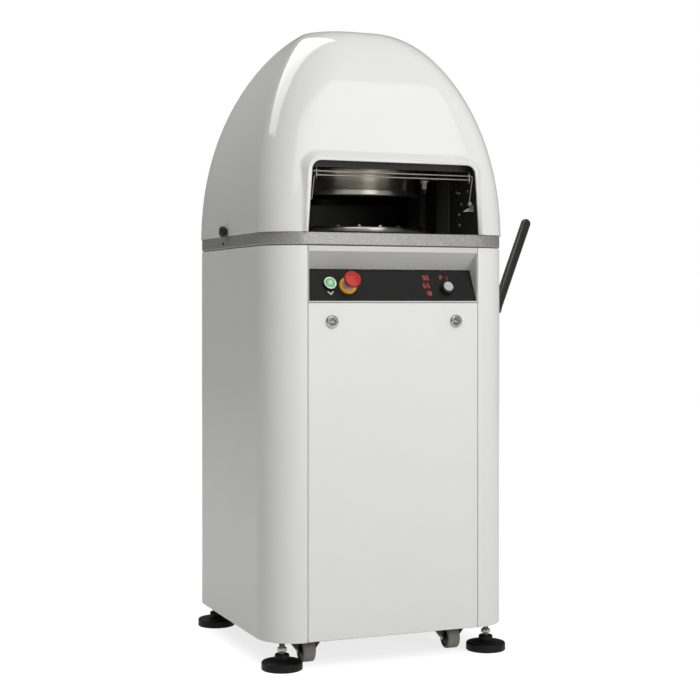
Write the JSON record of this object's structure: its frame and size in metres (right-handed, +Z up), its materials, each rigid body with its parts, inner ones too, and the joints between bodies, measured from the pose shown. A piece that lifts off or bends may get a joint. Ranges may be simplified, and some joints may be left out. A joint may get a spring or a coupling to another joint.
{
  "type": "dough divider rounder",
  "caption": "Free-standing dough divider and rounder: white sheet cabinet on levelling feet and casters, domed hood with a front loading opening, sloped control panel and a side lever.",
  "frame": {"origin": "on the floor, under the middle of the cabinet, midway between the four feet", "axes": "+X to the right seen from the front, the front faces -Y, +Z up"},
  "size_m": [0.7472, 0.6606, 1.5087],
  "materials": {
    "white_enamel": "smooth white powder coat, semi-gloss",
    "white_abs": "glossy moulded white",
    "hammertone_paint": "grey hammertone paint on a casting",
    "black_enamel": "satin black powder coat",
    "panel_black": "matt black overlay",
    "black_plastic": "moulded black",
    "chrome": "polished chrome plate",
    "polished_steel": "polished stainless steel",
    "polished_aluminium": "polished cast aluminium",
    "plain_steel": "machined steel",
    "zinc_steel": "bright zinc plate",
    "caster_tread": "grey rubber tread",
    "green_lens": "clear green lens",
    "red_plastic": "moulded red",
    "yellow_plastic": "moulded yellow",
    "grey_plastic": "moulded light grey",
    "circuit_board": "lacquered board",
    "bronze": "sintered bronze",
    "belt_rubber": "black rubber",
    "blue_grey_alloy": "painted cast alloy"
  },
  "bodies": {
    "frame": {"base_plate": "plain_steel", "frame_posts": "plain_steel", "left_side_panel": "white_enamel", "right_side_panel": "white_enamel", "rear_panel": "white_enamel", "cable_gland": "black_plastic", "table_casting": "hammertone_paint", "console_sheet": "white_enamel", "control_panel": "panel_black", "control_board": "circuit_board", "start_button_body": "black_plastic", "estop_collar": "yellow_plastic", "chamber_liner": "black_enamel", "proximity_sensor": "black_plastic", "head_frame": "black_enamel", "press_cylinder": "plain_steel", "drive_bridge": "plain_steel", "bearing_housings": "plain_steel", "drive_motor": "blue_grey_alloy", "v_belt": "belt_rubber", "hydraulic_unit": "blue_grey_alloy", "electrical_box": "grey_plastic", "lever_bush": "bronze", "caster_plates": "zinc_steel"},
    "hood": {"hood": "white_abs"},
    "hood_knob_left": {"hood_knob_left": "black_plastic"},
    "hood_knob_right": {"hood_knob_right": "black_plastic"},
    "front_panel": {"front_panel": "white_enamel"},
    "lock_left": {"lock_left": "chrome"},
    "lock_right": {"lock_right": "chrome"},
    "guard": {"guard_bail": "polished_steel"},
    "start_button": {"start_button_cap": "green_lens"},
    "estop_stem": {"estop_stem": "grey_plastic"},
    "estop_head": {"estop_head": "red_plastic"},
    "dial": {"dial_knob": "black_plastic", "dial_cap": "grey_plastic"},
    "lever": {"lever_bar": "black_enamel", "lever_shaft": "plain_steel"},
    "press_head": {"head_ring": "polished_steel", "press_segments": "plain_steel", "piston_rod": "polished_steel"},
    "knives": {"knife_grid": "polished_steel"},
    "eccentric": {"eccentric_shaft": "plain_steel"},
    "table": {"rounding_table": "plain_steel"},
    "idler_left": {"idler_crank_left": "plain_steel"},
    "idler_right": {"idler_crank_right": "plain_steel"},
    "motor_pulley": {"motor_pulley": "plain_steel"},
    "moulding_plate": {"moulding_plate": "polished_aluminium"},
    "foot_front_left": {"foot_front_left": "black_plastic"},
    "caster_fork_front_left": {"caster_fork_front_left": "zinc_steel"},
    "caster_wheel_front_left": {"caster_wheel_front_left": "caster_tread"},
    "foot_front_right": {"foot_front_right": "black_plastic"},
    "caster_fork_front_right": {"caster_fork_front_right": "zinc_steel"},
    "caster_wheel_front_right": {"caster_wheel_front_right": "caster_tread"},
    "foot_rear_left": {"foot_rear_left": "black_plastic"},
    "caster_fork_rear_left": {"caster_fork_rear_left": "zinc_steel"},
    "caster_wheel_rear_left": {"caster_wheel_rear_left": "caster_tread"},
    "foot_rear_right": {"foot_rear_right": "black_plastic"},
    "caster_fork_rear_right": {"caster_fork_rear_right": "zinc_steel"},
    "caster_wheel_rear_right": {"caster_wheel_rear_right": "caster_tread"}
  },
  "joints": [
    {"name": "hood_lift", "type": "slide", "parent": "frame", "child": "hood", "axis": [0, 0, 1], "range_m": [0, 0.5]},
    {"name": "hood_knob_left_turn", "type": "hinge", "parent": "frame", "child": "hood_knob_left", "pos_m": [-0.31, 0.015, 1.015], "axis": [-1, 0, 0], "continuous": true},
    {"name": "hood_knob_right_turn", "type": "hinge", "parent": "frame", "child": "hood_knob_right", "pos_m": [0.31, 0.015, 1.015], "axis": [1, 0, 0], "continuous": true},
    {"name": "front_panel_tip", "type": "hinge", "parent": "frame", "child": "front_panel", "pos_m": [0, -0.302, 0.0675], "axis": [1, 0, 0], "range_deg": [0, 80]},
    {"name": "lock_left_turn", "type": "hinge", "parent": "front_panel", "child": "lock_left", "pos_m": [-0.158, -0.303, 0.797], "axis": [0, -1, 0], "range_deg": [0, 90]},
    {"name": "lock_right_turn", "type": "hinge", "parent": "front_panel", "child": "lock_right", "pos_m": [0.158, -0.303, 0.797], "axis": [0, 1, 0], "range_deg": [0, 90]},
    {"name": "guard_swing", "type": "hinge", "parent": "frame", "child": "guard", "pos_m": [0, -0.274, 1.078], "axis": [1, 0, 0], "range_deg": [-30, 10], "stiffness_Nm_per_rad": 3},
    {"name": "start_press", "type": "slide", "parent": "frame", "child": "start_button", "axis": [0, 0.8944, -0.4472], "range_m": [0, 0.003], "stiffness_N_per_m": 600},
    {"name": "estop_press", "type": "slide", "parent": "frame", "child": "estop_stem", "axis": [0, 0.8944, -0.4472], "range_m": [0, 0.004], "stiffness_N_per_m": 800},
    {"name": "estop_release", "type": "hinge", "parent": "estop_stem", "child": "estop_head", "pos_m": [-0.112, -0.30547, 0.88972], "axis": [0, -0.8944, 0.4472], "range_deg": [0, 35], "stiffness_Nm_per_rad": 0.05},
    {"name": "dial_turn", "type": "hinge", "parent": "frame", "child": "dial", "pos_m": [0.139, -0.28736, 0.87228], "axis": [0, -0.8944, 0.4472], "continuous": true},
    {"name": "lever_swing", "type": "hinge", "parent": "frame", "child": "lever", "pos_m": [0.31, -0.19, 0.828], "axis": [1, 0, 0], "range_deg": [-30, 40]},
    {"name": "head_press", "type": "slide", "parent": "frame", "child": "press_head", "axis": [0, 0, -1], "range_m": [0, 0.072]},
    {"name": "knife_push", "type": "slide", "parent": "press_head", "child": "knives", "axis": [0, 0, -1], "range_m": [0, 0.015]},
    {"name": "eccentric_spin", "type": "hinge", "parent": "frame", "child": "eccentric", "pos_m": [0, 0, 0.97], "axis": [0, 0, 1], "continuous": true},
    {"name": "table_orbit", "type": "hinge", "parent": "eccentric", "child": "table", "pos_m": [0.008, 0, 0.983], "axis": [0, 0, 1], "continuous": true},
    {"name": "idler_left_spin", "type": "hinge", "parent": "frame", "child": "idler_left", "pos_m": [-0.13, 0, 0.97], "axis": [0, 0, 1], "continuous": true},
    {"name": "idler_right_spin", "type": "hinge", "parent": "frame", "child": "idler_right", "pos_m": [0.13, 0, 0.97], "axis": [0, 0, 1], "continuous": true},
    {"name": "motor_spin", "type": "hinge", "parent": "frame", "child": "motor_pulley", "pos_m": [0, 0.195, 0.862], "axis": [0, 0, 1], "continuous": true},
    {"name": "plate_slide", "type": "slide", "parent": "table", "child": "moulding_plate", "axis": [0, -1, 0], "range_m": [0, 0.43]},
    {"name": "foot_front_left_level", "type": "slide", "parent": "frame", "child": "foot_front_left", "axis": [0, 0, 1], "range_m": [-0.01, 0.008]},
    {"name": "caster_front_left_swivel", "type": "hinge", "parent": "frame", "child": "caster_fork_front_left", "pos_m": [-0.187, -0.202, 0.0592], "axis": [0, 0, 1], "continuous": true},
    {"name": "caster_front_left_roll", "type": "hinge", "parent": "caster_fork_front_left", "child": "caster_wheel_front_left", "pos_m": [-0.187, -0.212, 0.027], "axis": [1, 0, 0], "continuous": true},
    {"name": "foot_front_right_level", "type": "slide", "parent": "frame", "child": "foot_front_right", "axis": [0, 0, 1], "range_m": [-0.01, 0.008]},
    {"name": "caster_front_right_swivel", "type": "hinge", "parent": "frame", "child": "caster_fork_front_right", "pos_m": [0.187, -0.202, 0.0592], "axis": [0, 0, 1], "continuous": true},
    {"name": "caster_front_right_roll", "type": "hinge", "parent": "caster_fork_front_right", "child": "caster_wheel_front_right", "pos_m": [0.187, -0.212, 0.027], "axis": [1, 0, 0], "continuous": true},
    {"name": "foot_rear_left_level", "type": "slide", "parent": "frame", "child": "foot_rear_left", "axis": [0, 0, 1], "range_m": [-0.01, 0.008]},
    {"name": "caster_rear_left_swivel", "type": "hinge", "parent": "frame", "child": "caster_fork_rear_left", "pos_m": [-0.187, 0.202, 0.0592], "axis": [0, 0, 1], "continuous": true},
    {"name": "caster_rear_left_roll", "type": "hinge", "parent": "caster_fork_rear_left", "child": "caster_wheel_rear_left", "pos_m": [-0.187, 0.192, 0.027], "axis": [1, 0, 0], "continuous": true},
    {"name": "foot_rear_right_level", "type": "slide", "parent": "frame", "child": "foot_rear_right", "axis": [0, 0, 1], "range_m": [-0.01, 0.008]},
    {"name": "caster_rear_right_swivel", "type": "hinge", "parent": "frame", "child": "caster_fork_rear_right", "pos_m": [0.187, 0.202, 0.0592], "axis": [0, 0, 1], "continuous": true},
    {"name": "caster_rear_right_roll", "type": "hinge", "parent": "caster_fork_rear_right", "child": "caster_wheel_rear_right", "pos_m": [0.187, 0.192, 0.027], "axis": [1, 0, 0], "continuous": true}
  ],
  "couplings": [
    {"joint": "table_orbit", "follows": "eccentric_spin", "ratio": -1},
    {"joint": "idler_left_spin", "follows": "eccentric_spin", "ratio": 1},
    {"joint": "idler_right_spin", "follows": "eccentric_spin", "ratio": 1},
    {"joint": "motor_spin", "follows": "eccentric_spin", "ratio": 3.3846}
  ]
}
